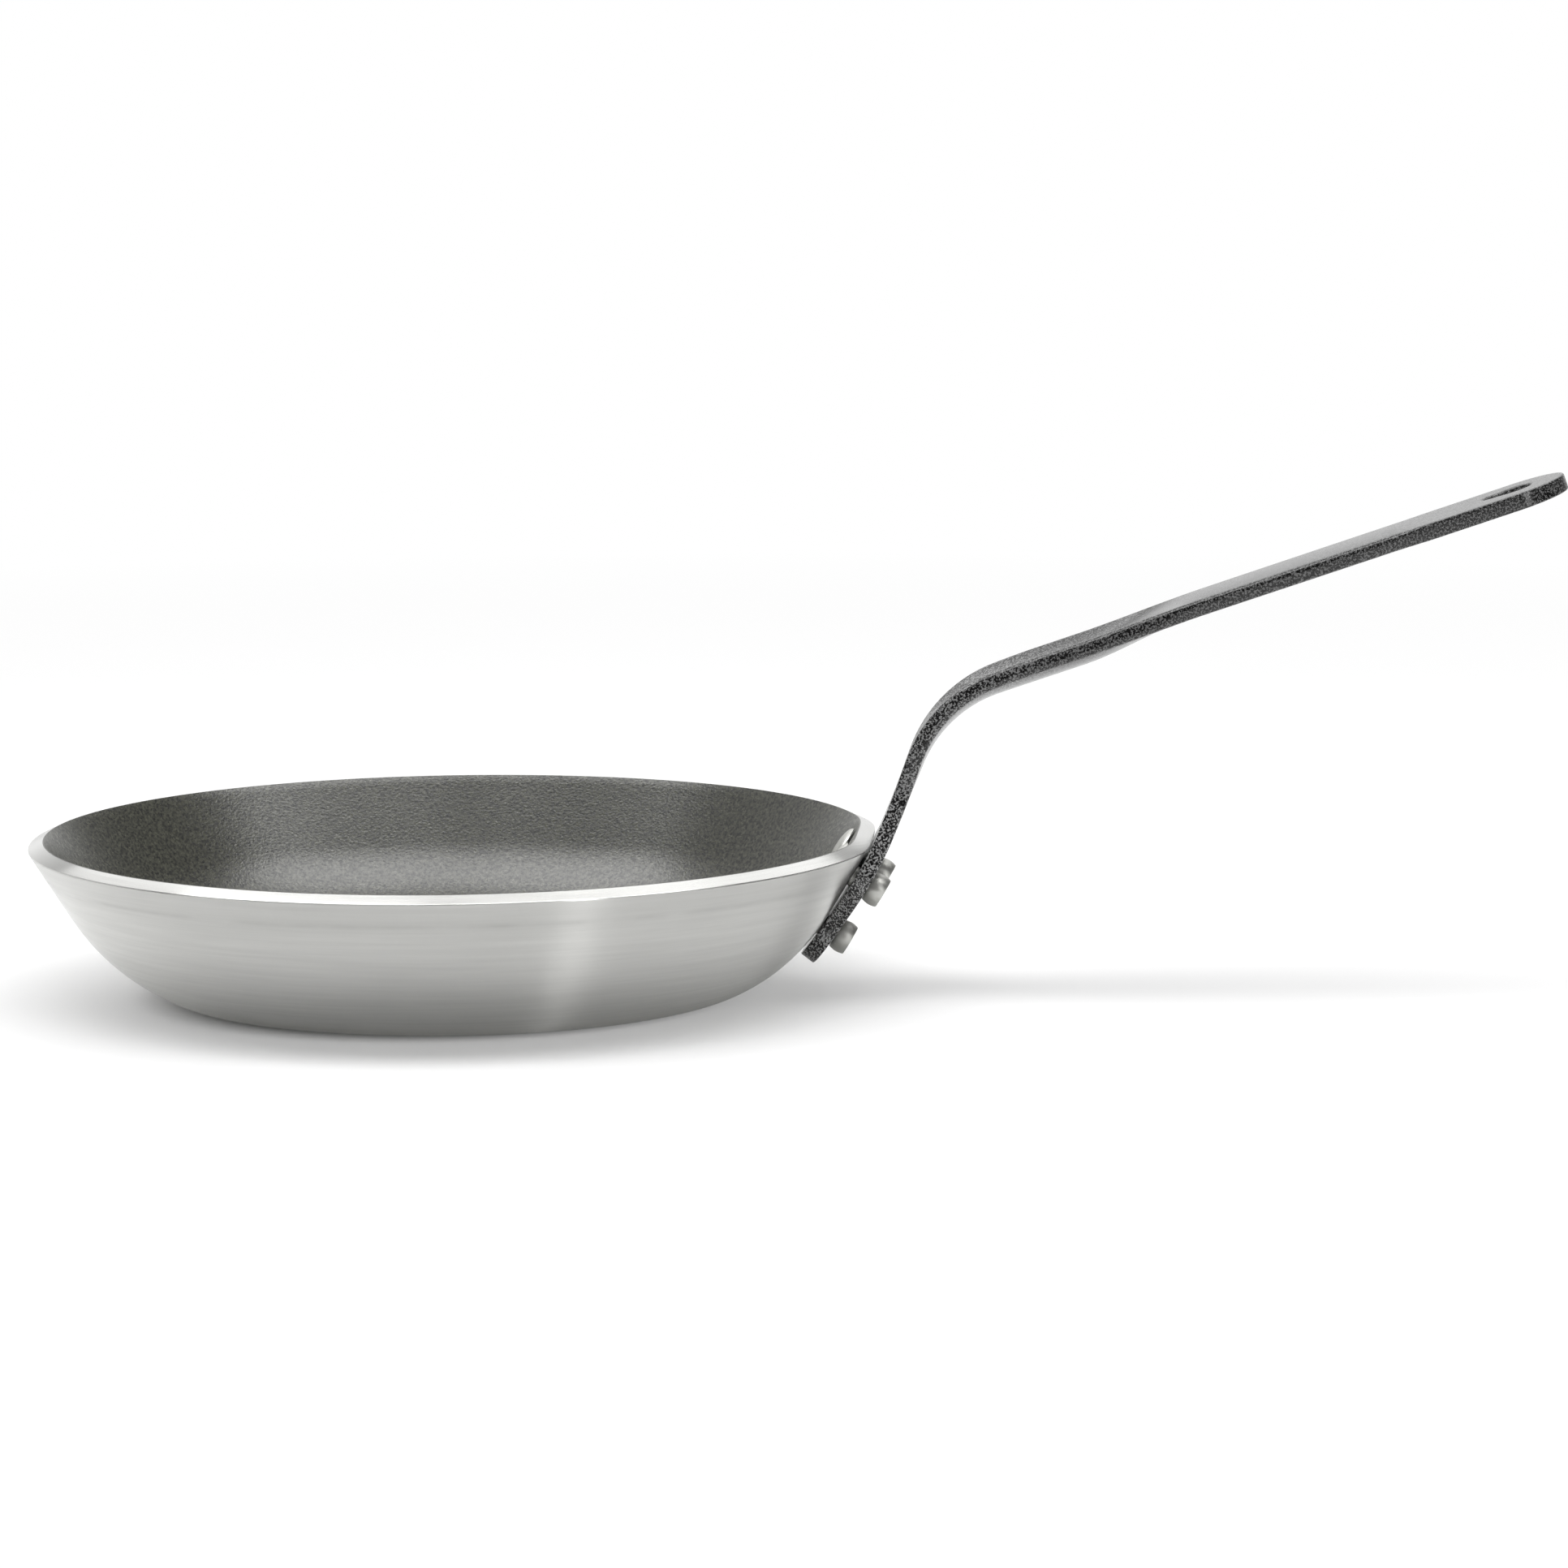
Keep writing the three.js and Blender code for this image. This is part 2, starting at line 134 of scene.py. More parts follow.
# Finish of the body. Lines and patches are per radian round the axis and per metre along the
# section, heights are in metres, and a bump is a strength and a depth in millimetres.
FINE_LINES = (5, 3500)
BROAD_LINES = (2.5, 500)
RING_PATCHES = (6, 60)
ALUMINIUM_DULL = (0.69, 0.69, 0.67, 1)
ALUMINIUM_BRIGHT = (0.745, 0.745, 0.725, 1)
WORN_GREY = (0.48, 0.48, 0.465, 1)
WORN_WALL_HEIGHTS = (0.031, 0.038)
WORN_WALL_SHARE = 0.25
WORN_RING_HEIGHT = 0.0365
WORN_RING_HALF_WIDTH = 0.0012
WORN_RING_SHARE = 0.4
RING_PATCH_RANGE = (0.4, 0.65)
BRUSHED_ROUGHNESS = (0.33, 0.42)
BEVEL_HEIGHTS = (0.0431, 0.0435)
BEVEL_POLISH = 0.45
LINE_BUMP = (0.1, 0.02)
QUARTER_TURN = 0.25

# Finish of the lining, with scales in features per metre
COAT_GROOVES = (120, 1200)
COAT_SPECKLE_SCALE = 1100
COAT_PEEL_SCALE = 1400
COAT_DARK = (0.008, 0.0081, 0.006, 1)
COAT_SPARKLE = (0.092, 0.093, 0.07, 1)
COAT_SPARKLE_RANGE = (0.38, 0.62)
COAT_ROUGHNESS = (0.34, 0.25)
COAT_PEEL_BUMP = (0.6, 0.06)
COAT_GROOVE_BUMP = (0.7, 0.06)

# Finish of the handle strip; the specks grow fainter between two places along it, as painted shade
# on the grip and tip
PAINT_GRAIN_SCALE = 1800
PAINT_PEBBLE_SCALE = 1500
PAINT_BLACK = (0.006, 0.006, 0.006, 1)
PAINT_SPECK = (0.36, 0.36, 0.36, 1)
PAINT_SPECK_RANGE = (0.49, 0.57)
SPECK_SHADE_PLACES = (0.12, 0.17)
SPECK_SHADE_SHARE = 0.4
PAINT_ROUGHNESS = 0.2
PAINT_IOR = 1.5
PAINT_BUMP = (0.35, 0.04)

# Finish of the rivets
RIVET_CLOUD_SCALE = 700
RIVET_GRAIN_SCALE = 2500
RIVET_DULL = (0.53, 0.53, 0.5, 1)
RIVET_BRIGHT = (0.6, 0.6, 0.57, 1)
RIVET_ROUGHNESS = (0.4, 0.46)
RIVET_BUMP = (0.05, 0.01)

# The studio, in metres, with brightness where 1 is white
WHITE = (1, 1, 1, 1)
FLOOR_SIZE = 40
FLOOR_WHITE = (0.93, 0.93, 0.93, 1)
FLOOR_ROUGHNESS = 0.9
FLOOR_LIFT = 0.3
FOOT_SHADE_CENTRE = (-0.006, -0.002, 0)
FOOT_SHADE = (0.07, 0.085)
WHITE_BEYOND = (0.45, 1.1)
MIRRORED_LIFT = 0.06
MIRRORED_FAR_LIFT = 0.75
MIRRORED_ASIDE = (0.4, 1)
ROOM_LEVEL = 0.06
BACKDROP_BEHIND = (-0.2, 0.35)
BACKDROP_RISE = (0.1, 0.35)
BACKDROP_UPPER_SHARE = 0.55
BACKDROP_RIGHT = (0.35, 0.6)
BACKDROP_RIGHT_SHARE = 0.15

# The camera of the picture
CAMERA_PLACE = Vector((0.237245, -2.295774, 0.383705))
CAMERA_FORWARD = Vector((-0.06217333, 0.98821679, -0.1398644))
CAMERA_UP = Vector((0.00254042, 0.14029175, 0.99010695))
CAMERA_LENS = 190.23
CAMERA_SENSOR = 36

# The soft lamps: name, place, aim, width, height, level and twist in degrees
SOFTBOXES = [
    ("overhead_left", (-0.65, -0.12, 1.5), (-0.65, -0.12, 0), 1.5, 0.85, 3.9, -25),
    ("overhead_right", (0.65, -0.12, 1.5), (0.65, -0.12, 0), 1.5, 0.85, 3.9, 25),
    ("back_bank", (0, 1.05, 1.1), (0, 0, 0), 1.8, 1, 0.95, 0),
    ("front_strip", (0.755, -0.93, 0.4), (0, 0, 0.03), 0.16, 0.75, 5, 0),
]


# Small helpers for modelling by operators


def deselect_all():
    bpy.ops.object.select_all(action="DESELECT")


def select_only(piece):
    deselect_all()
    bpy.context.view_layer.objects.active = piece
    piece.select_set(True)


def edit_all(piece):
    select_only(piece)
    bpy.ops.object.mode_set(mode="EDIT")
    bpy.ops.mesh.select_all(action="SELECT")


def leave_edit():
    bpy.ops.object.mode_set(mode="OBJECT")


def draw_line(name, points):
    """A new piece with one chain of edges through the points, in millimetres, left in edit mode."""
    deselect_all()
    bpy.ops.mesh.primitive_plane_add(size=MM)
    piece = bpy.context.object
    piece.name = name
    piece.data.name = name
    edit_all(piece)
    bpy.ops.mesh.merge(type="CENTER")
    points = [Vector(point) * MM for point in points]
    bpy.ops.transform.translate(value=points[0])
    for start, end in zip(points, points[1:]):
        bpy.ops.mesh.extrude_vertices_move(TRANSFORM_OT_translate={"value": end - start})
    return piece


def turn_piece(name, section, sides):
    """A closed piece spun about Z from a section of radius and height that starts and ends on
    the axis."""
    piece = draw_line(name, [(radius, 0, height) for radius, height in section])
    bpy.ops.mesh.select_all(action="SELECT")
    bpy.ops.mesh.spin(steps=sides, angle=2 * math.pi, center=(0, 0, 0), axis=(0, 0, 1))
    bpy.ops.mesh.select_all(action="SELECT")
    bpy.ops.mesh.remove_doubles(threshold=SEAM_GAP)
    bpy.ops.mesh.normals_make_consistent(inside=False)
    leave_edit()
    return piece


def plate_piece(name, outline, thickness):
    """A flat plate of that outline, in X and Y, with its middle surface at Z = 0."""
    piece = draw_line(name, [(x, y, -thickness / 2) for x, y in outline])
    bpy.ops.mesh.select_all(action="SELECT")
    bpy.ops.mesh.edge_face_add()
    lift = {"value": (0, 0, thickness * MM)}
    bpy.ops.mesh.extrude_region_move(TRANSFORM_OT_translate=lift)
    bpy.ops.mesh.select_all(action="SELECT")
    bpy.ops.mesh.normals_make_consistent(inside=False)
    leave_edit()
    return piece


def round_edges(piece, radius, segments, weighted=False):
    """Rounds the sharp edges, or by their bevel weight where they have one."""
    select_only(piece)
    rounding = piece.modifiers.new("rounding", "BEVEL")
    rounding.width = radius * MM
    rounding.segments = segments
    rounding.limit_method = "WEIGHT" if weighted else "ANGLE"
    rounding.angle_limit = SHARP_ANGLE
    rounding.use_clamp_overlap = False
    bpy.ops.object.modifier_apply(modifier=rounding.name)


def cut_with(piece, cutter):
    select_only(piece)
    cut = piece.modifiers.new("cut", "BOOLEAN")
    cut.operation = "DIFFERENCE"
    cut.solver = "EXACT"
    cut.object = cutter
    bpy.ops.object.modifier_apply(modifier=cut.name)
    bpy.data.objects.remove(cutter)


def place_piece(piece, matrix):
    piece.matrix_world = matrix
    select_only(piece)
    bpy.ops.object.transform_apply(location=True, rotation=True, scale=True)


def finish_piece(piece, node_name, material, smooth_angle=SMOOTH_ANGLE):
    select_only(piece)
    bpy.ops.object.shade_smooth_by_angle(angle=smooth_angle)
    piece.data.materials.clear()
    piece.data.materials.append(material)
    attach(piece, "root")
    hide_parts(node_name)


def smooth_step(value, low, high):
    share = min(max((value - low) / (high - low), 0), 1)
    return share * share * (3 - 2 * share)


def rounded_corner(before, corner, after, radius, steps):
    """Points of the arc that rounds a corner between two straight lines."""
    before, corner, after = Vector(before), Vector(corner), Vector(after)
    to_before = (before - corner).normalized()
    to_after = (after - corner).normalized()
    half = to_before.angle(to_after) / 2
    centre = corner + (to_before + to_after).normalized() * (radius / math.sin(half))
    start = corner + to_before * (radius / math.tan(half)) - centre
    end = corner + to_after * (radius / math.tan(half)) - centre
    sweep = start.angle(end)
    points = []
    for step in range(steps + 1):
        share = step / steps
        arm = start * math.sin((1 - share) * sweep) + end * math.sin(share * sweep)
        points.append(centre + arm / math.sin(sweep))
    return points


# The pan body and its lining

foot_arm = Vector((math.sin(FOOT_ANGLE), -math.cos(FOOT_ANGLE)))
belly_height = FOOT_RADIUS - foot_arm.y * (BELLY_RADIUS - FOOT_RADIUS)
belly_reach = BELLY_RADIUS - (belly_height - RIM_EDGE_HEIGHT) * math.cos(WALL_ANGLE)
belly_centre = Vector((RIM_RADIUS - belly_reach / math.sin(WALL_ANGLE), belly_height))
foot_centre = belly_centre + foot_arm * (BELLY_RADIUS - FOOT_RADIUS)
base_radius = foot_centre.x
corner_arcs = [
    (foot_centre, FOOT_RADIUS, 0, FOOT_ANGLE, FOOT_STEPS),
    (belly_centre, BELLY_RADIUS, FOOT_ANGLE, WALL_ANGLE, BELLY_STEPS),
]
pressed_angle = PRESSED_WIDTH / (2 * RIM_RADIUS)


def rim_point(depth):
    """The point of the rim's bevel that lies at a depth below the outer skin."""
    reach = depth / math.sin(WALL_ANGLE + BEVEL_ANGLE)
    across = RIM_RADIUS - reach * math.cos(BEVEL_ANGLE)
    return Vector((across, RIM_EDGE_HEIGHT + reach * math.sin(BEVEL_ANGLE)))


def skin_points(depth):
    """The section at a depth below the outer skin, from the axis to just below the rim."""
    points = [Vector((base_radius * share, depth)) for share in BASE_RINGS]
    for centre, radius, start, end, steps in corner_arcs:
        for step in range(1, steps + 1):
            turn = start + (end - start) * step / steps
            arm = Vector((math.sin(turn), -math.cos(turn)))
            points.append(centre + arm * (radius - depth))
    wall_foot = points[-1]
    for step in range(1, WALL_STEPS):
        points.append(wall_foot.lerp(rim_point(depth), step / WALL_STEPS))
    return points


def pressed_share(azimuth, height):
    side = min(abs(azimuth) / pressed_angle, 1)
    raised = smooth_step(height, 0, PRESSED_FROM_HEIGHT)
    return (pressed_angle**2 / 4) * (1 - side**2) ** 2 * raised


def press_for_handle(piece):
    """Takes the roundness out of the wall where the handle sits."""
    for vertex in piece.data.vertices:
        place = vertex.co
        share = pressed_share(math.atan2(place.y, place.x), place.z / MM)
        place.x *= 1 - share
        place.y *= 1 - share


def body_section():
    outer = skin_points(0)
    inner = skin_points(BODY_THICKNESS)
    inner_edge = rim_point(BODY_THICKNESS)
    edge = rounded_corner(outer[-1], rim_point(0), inner_edge, RIM_ROUNDING, RIM_STEPS)
    return [*outer, *edge, inner_edge, *reversed(inner)]


def lining_section():
    outer = skin_points(BODY_THICKNESS)
    depth = BODY_THICKNESS + LINING_THICKNESS
    inner = skin_points(depth)
    outer_edge = rim_point(BODY_THICKNESS)
    corner = rim_point(depth)
    edge = rounded_corner(outer_edge, corner, inner[-1], LINING_ROUNDING, LINING_EDGE_STEPS)
    return [*outer, outer_edge, *edge, *reversed(inner)]


# The strip's path and its cross-section


def pressed_point(point):
    return Vector((point.x * (1 - pressed_share(0, point.y)), point.y))


up_wall = Vector((math.cos(WALL_ANGLE), math.sin(WALL_ANGLE)))
seat_top = pressed_point(rim_point(0))
seat_low = pressed_point(rim_point(0) - up_wall * SEAT_CHORD)
up_seat = (seat_top - seat_low).normalized()
out_of_seat = Vector((up_seat.y, -up_seat.x))
seat_angle = math.atan2(up_seat.y, up_seat.x)

plate_length = PLATE_TAIL + SEAT_CHORD
seat_station = PLATE_TAIL + SEAT_CHORD / 2
tail_angle = seat_angle - seat_station / PLATE_BEND_RADIUS
plate_turn = plate_length / PLATE_BEND_RADIUS
kink_turn = RISER_ANGLE - tail_angle - plate_turn
bend_turn = GRIP_ANGLE - RISER_ANGLE
path_parts = [
    (plate_length, plate_turn),
    (KINK_RADIUS * abs(kink_turn), kink_turn),
    (RISER_LENGTH, 0),
    (BEND_RADIUS * abs(bend_turn), bend_turn),
    (GRIP_LENGTH, 0),
]
strip_length = sum(length for length, _ in path_parts)
bend_end = strip_length - GRIP_LENGTH
flat_start = strip_length - FLAT_END_LENGTH
lower_rivet_station = TAIL_RADIUS
upper_rivet_station = TAIL_RADIUS + RIVET_ROW_SPACING


def path_from(start, station):
    """A point of the strip's path, as radius and height, and its angle from the table."""
    point = start.copy()
    angle = tail_angle
    left = station
    for length, turn in path_parts:
        step = min(left, length)
        turned = turn * step / length
        chord = 2 * step * math.sin(turned / 2) / turned if turned else step
        point += chord * Vector((math.cos(angle + turned / 2), math.sin(angle + turned / 2)))
        angle += turned
        left -= step
    return point, angle


def path_start():
    seat_sag = SEAT_CHORD**2 / (8 * PLATE_BEND_RADIUS)
    seat = seat_top - up_seat * (SEAT_CHORD / 2)
    seat += out_of_seat * (SEAT_GAP + seat_sag + STRIP_THICKNESS / 2)
    return seat - path_from(Vector((0, 0)), seat_station)[0]


strip_start = path_start()


def half_width_at(station):
    from_tip = strip_length - station
    if station < TAIL_RADIUS:
        return math.sqrt(max(TAIL_RADIUS**2 - (TAIL_RADIUS - station) ** 2, 0))
    if from_tip < TIP_RADIUS:
        return math.sqrt(max(TIP_RADIUS**2 - (TIP_RADIUS - from_tip) ** 2, 0))
    outline = [
        (TAIL_RADIUS, TAIL_RADIUS),
        (upper_rivet_station, UPPER_RIVET_SPACING / 2 + RIVET_MARGIN),
        (plate_length + NECK_ABOVE_RIM, NECK_WIDTH / 2),
        (flat_start, GRIP_WIDTH / 2),
        (strip_length - TIP_RADIUS, TIP_RADIUS),
    ]
    for (start, start_half), (end, end_half) in zip(outline, outline[1:]):
        if station <= end:
            return start_half + (end_half - start_half) * smooth_step(station, start, end)
    return TIP_RADIUS


def flat_share_at(station):
    return smooth_step(station, flat_start - SECTION_BLEND / 2, flat_start + SECTION_BLEND / 2)


def edge_radius_at(station):
    """The edges are rounder between the riveted plate and the flat end."""
    rounded = smooth_step(station, plate_length, bend_end) * (1 - flat_share_at(station))
    return SHARP_EDGE_RADIUS + (EDGE_RADIUS - SHARP_EDGE_RADIUS) * rounded


def bow_at(station):
    """How the section bows: its height above the path is lift + curl * across ** 2."""
    half = max(half_width_at(station), TAIL_RADIUS)
    dish_end = bend_end + DISH_LENGTH
    dish_start = plate_length + DISH_ABOVE_RIM
    dished = smooth_step(station, dish_start, bend_end + DISH_FULL_LENGTH)
    crowned = smooth_step(station, dish_end - DISH_FADE / 2, dish_end + DISH_FADE / 2)
    crown = CROWN_HEIGHT * crowned * (1 - flat_share_at(station))
    dish = DISH_DEPTH * dished * (1 - crowned)
    return (dish - crown) / half**2, DISH_DEPTH * crowned + crown


def strip_point(station, across, above):
    """Where a point of the flat blank goes when the strip is bent, in millimetres."""
    curl, lift = bow_at(station)
    tilt = math.atan(2 * curl * across)
    height = lift + curl * across**2 + above * math.cos(tilt)
    point, angle = path_from(strip_start, min(max(station, 0), strip_length))
    point += height * Vector((-math.sin(angle), math.cos(angle)))
    return Vector((point.x, across - above * math.sin(tilt), point.y))


def strip_outline():
    """The flat blank's outline, as station and across, closed."""
    side = []
    for step in range(END_STEPS):
        turn = math.pi / 2 * step / END_STEPS
        side.append((TAIL_RADIUS * (1 - math.cos(turn)), TAIL_RADIUS * math.sin(turn)))
    steps = round((strip_length - TAIL_RADIUS - TIP_RADIUS) / OUTLINE_STEP)
    for step in range(steps + 1):
        station = TAIL_RADIUS + (strip_length - TAIL_RADIUS - TIP_RADIUS) * step / steps
        side.append((station, half_width_at(station)))
    for step in range(1, END_STEPS + 1):
        turn = math.pi / 2 * (1 - step / END_STEPS)
        across = TIP_RADIUS * math.sin(turn)
        side.append((strip_length - TIP_RADIUS * (1 - math.cos(turn)), across))
    other_side = [(station, -across) for station, across in reversed(side[1:-1])]
    return [*side, *other_side]


def teardrop_outline():
    """The hanging hole, narrow towards the pan."""
    start = strip_length - HOLE_LAND - HOLE_LENGTH
    wide_centre = HOLE_LENGTH - HOLE_RADIUS
    narrowing = HOLE_RADIUS - HOLE_NARROW_RADIUS
    tangent = math.pi / 2 + math.asin(narrowing / (wide_centre - HOLE_NARROW_RADIUS))
    outline = []
    for step in range(HOLE_STEPS + 1):
        turn = tangent * (2 * step / HOLE_STEPS - 1)
        across = HOLE_RADIUS * math.sin(turn)
        outline.append((start + wide_centre + HOLE_RADIUS * math.cos(turn), across))
    for step in range(HOLE_NARROW_STEPS + 1):
        turn = tangent + (2 * math.pi - 2 * tangent) * step / HOLE_NARROW_STEPS
        across = HOLE_NARROW_RADIUS * math.sin(turn)
        reach = HOLE_NARROW_RADIUS * (1 + math.cos(turn))
        outline.append((start + reach, across))
    return outline


def cylinder_cutter(place, axis, radius, depth):
    deselect_all()
    bpy.ops.mesh.primitive_cylinder_add(vertices=RIVET_SIDES, radius=radius * MM, depth=depth * MM)
    cutter = bpy.context.object
    turn = Vector((0, 0, 1)).rotation_difference(axis).to_matrix().to_4x4()
    place_piece(cutter, Matrix.Translation(place * MM) @ turn)
    return cutter


def rivet_places():
    """Each rivet's name, its station and across on the strip, and its inner seat."""
    half = UPPER_RIVET_SPACING / 2
    return [
        ("rivet_upper_left", upper_rivet_station, half, UPPER_INNER_SEAT),
        ("rivet_upper_right", upper_rivet_station, -half, UPPER_INNER_SEAT),
        ("rivet_lower", lower_rivet_station, 0, LOWER_INNER_SEAT),
    ]


rivet_axis = Vector((out_of_seat.x, 0, out_of_seat.y))


def weigh_edges(piece):
    """Gives the blank's upper and lower edges a bevel weight that follows their rounding."""
    points = piece.data.vertices
    weights = piece.data.attributes.new("bevel_weight_edge", "FLOAT", "EDGE")
    for edge in piece.data.edges:
        start, end = (points[index].co / MM for index in edge.vertices)
        if abs(start.z - end.z) < STRIP_THICKNESS / 2:
            radius = edge_radius_at((start.x + end.x) / 2)
            weights.data[edge.index].value = radius / EDGE_RADIUS


def make_strip():
    """A flat blank with rounded edges and punched holes, cut into short lengths and bent."""
    piece = plate_piece("bent_strip_handle", strip_outline(), STRIP_THICKNESS)
    weigh_edges(piece)
    round_edges(piece, EDGE_RADIUS, EDGE_STEPS, weighted=True)
    cutter_length = 3 * STRIP_THICKNESS
    for _, station, across, _ in rivet_places():
        place = Vector((station, across, 0))
        radius = SHANK_RADIUS + SHANK_CLEARANCE
        cut_with(piece, cylinder_cutter(place, Vector((0, 0, 1)), radius, cutter_length))
    cut_with(piece, plate_piece("hole_cutter", teardrop_outline(), cutter_length))
    round_edges(piece, HOLE_ROUNDING, HOLE_ROUNDING_STEPS)
    edit_all(piece)
    stations = range(STRIP_STEP, int(strip_length), STRIP_STEP)
    for station in stations:
        bpy.ops.mesh.select_all(action="SELECT")
        bpy.ops.mesh.bisect(plane_co=(station * MM, 0, 0), plane_no=(1, 0, 0))
    for lane in sorted({side * lane for lane in STRIP_LANES for side in (-1, 1)}):
        bpy.ops.mesh.select_all(action="SELECT")
        bpy.ops.mesh.bisect(plane_co=(0, lane * MM, 0), plane_no=(0, 1, 0))
    bpy.ops.mesh.select_all(action="SELECT")
    bpy.ops.mesh.remove_doubles(threshold=STRIP_SEAM_GAP)
    leave_edit()
    for vertex in piece.data.vertices:
        station, across, above = vertex.co / MM
        vertex.co = strip_point(station, across, above) * MM
    return piece


def rivet_section(inner):
    """A rivet's section along Z: a low inner head, the shank and a barrel-shaped outer head."""
    outer = STRIP_THICKNESS / 2 + HEAD_CLEARANCE
    section = []
    for step in range(INNER_HEAD_STEPS + 1):
        turn = math.pi / 2 * step / INNER_HEAD_STEPS
        height = inner - INNER_HEAD_HEIGHT * math.cos(turn)
        section.append(Vector((INNER_HEAD_RADIUS * math.sin(turn), height)))
    section += [Vector((SHANK_RADIUS, inner)), Vector((SHANK_RADIUS, outer))]
    side_height = OUTER_HEAD_HEIGHT - OUTER_HEAD_SHOULDER * OUTER_HEAD_ROUNDING
    for step in range(OUTER_HEAD_STEPS + 1):
        height = side_height * step / OUTER_HEAD_STEPS
        off_middle = 2 * height / OUTER_HEAD_HEIGHT - 1
        radius = OUTER_HEAD_RADIUS - OUTER_HEAD_BULGE * off_middle**2
        section.append(Vector((radius, outer + height)))
    side, end = section[-2:]
    lean = math.atan2(side.x - end.x, end.y - side.y)
    centre = end - OUTER_HEAD_ROUNDING * Vector((math.cos(lean), math.sin(lean)))
    for step in range(1, HEAD_ROUNDING_STEPS + 1):
        turn = lean + (math.pi / 2 - lean) * step / HEAD_ROUNDING_STEPS
        section.append(centre + OUTER_HEAD_ROUNDING * Vector((math.cos(turn), math.sin(turn))))
    return [*section, Vector((0, section[-1].y))]


def make_rivet(name, station, across, inner):
    piece = turn_piece(name + "_turned", rivet_section(inner), RIVET_SIDES)
    turn = Vector((0, 0, 1)).rotation_difference(rivet_axis).to_matrix().to_4x4()
    place_piece(piece, Matrix.Translation(strip_point(station, across, 0) * MM) @ turn)
    return piece


# Materials


def node(tree, kind, sockets=None, **settings):
    """A new shader node, with its settings and with values or links for its sockets."""
    made = tree.nodes.new(kind)
    for key, value in settings.items():
        setattr(made, key, value)
    for key, value in (sockets or {}).items():
        if isinstance(value, bpy.types.NodeSocket):
            tree.links.new(value, made.inputs[key])
        else:
            made.inputs[key].default_value = value
    return made


def new_material(name):
    material = bpy.data.materials.new(name)
    material.use_nodes = True
    tree = material.node_tree
    shader = tree.nodes["Principled BSDF"]
    return material, tree, shader


def round_axis(tree, around, along):
    """Coordinates that stretch a pattern round the pan's axis: features per radian, and per metre
    along the section."""
    coordinates = node(tree, "ShaderNodeTexCoord").outputs["Object"]
    parts = node(tree, "ShaderNodeSeparateXYZ", {0: coordinates})
    flat = node(tree, "ShaderNodeCombineXYZ", {0: parts.outputs[0], 1: parts.outputs[1]})
    reach = node(tree, "ShaderNodeVectorMath", {0: flat.outputs[0]}, operation="LENGTH")
    heading = node(tree, "ShaderNodeVectorMath", {0: flat.outputs[0]}, operation="NORMALIZE")
    turned = node(
        tree,
        "ShaderNodeVectorMath",
        {0: heading.outputs[0], 1: (around, around, 0)},
        operation="MULTIPLY",
    )
    section = node(
        tree,
        "ShaderNodeMath",
        {0: reach.outputs["Value"], 1: parts.outputs[2]},
        operation="ADD",
    )
    rise = node(tree, "ShaderNodeMath", {0: section.outputs[0], 1: along}, operation="MULTIPLY")
    lifted = node(tree, "ShaderNodeCombineXYZ", {2: rise.outputs[0]})
    return node(
        tree, "ShaderNodeVectorMath", {0: turned.outputs[0], 1: lifted.outputs[0]}, operation="ADD"
    ).outputs[0]


def noise(tree, vector, scale=1, detail=2, roughness=0.5):
    made = node(
        tree,
        "ShaderNodeTexNoise",
        {"Vector": vector, "Scale": scale, "Detail": detail, "Roughness": roughness},
    )
    return made.outputs["Fac"]


def spread(tree, value, low, high, from_low=0.3, from_high=0.7):
    made = node(
        tree,
        "ShaderNodeMapRange",
        {
            "Value": value,
            "From Min": from_low,
            "From Max": from_high,
            "To Min": low,
            "To Max": high,
        },
    )
    return made.outputs["Result"]


def math_node(tree, operation, first, second):
    return node(tree, "ShaderNodeMath", {0: first, 1: second}, operation=operation).outputs[0]


def distance(tree, point, centre):
    made = node(tree, "ShaderNodeVectorMath", {0: point, 1: centre}, operation="DISTANCE")
    return made.outputs["Value"]


def mixed_colour(tree, factor, first, second):
    made = node(tree, "ShaderNodeMix", {0: factor, 6: first, 7: second}, data_type="RGBA")
    return made.outputs[2]


def bump(tree, height, strength_and_depth, normal=None):
    strength, depth = strength_and_depth
    sockets = {"Height": height, "Strength": strength, "Distance": depth * MM}
    if normal is not None:
        sockets["Normal"] = normal
    return node(tree, "ShaderNodeBump", sockets).outputs["Normal"]


def link(tree, value, shader, socket):
    tree.links.new(value, shader.inputs[socket])


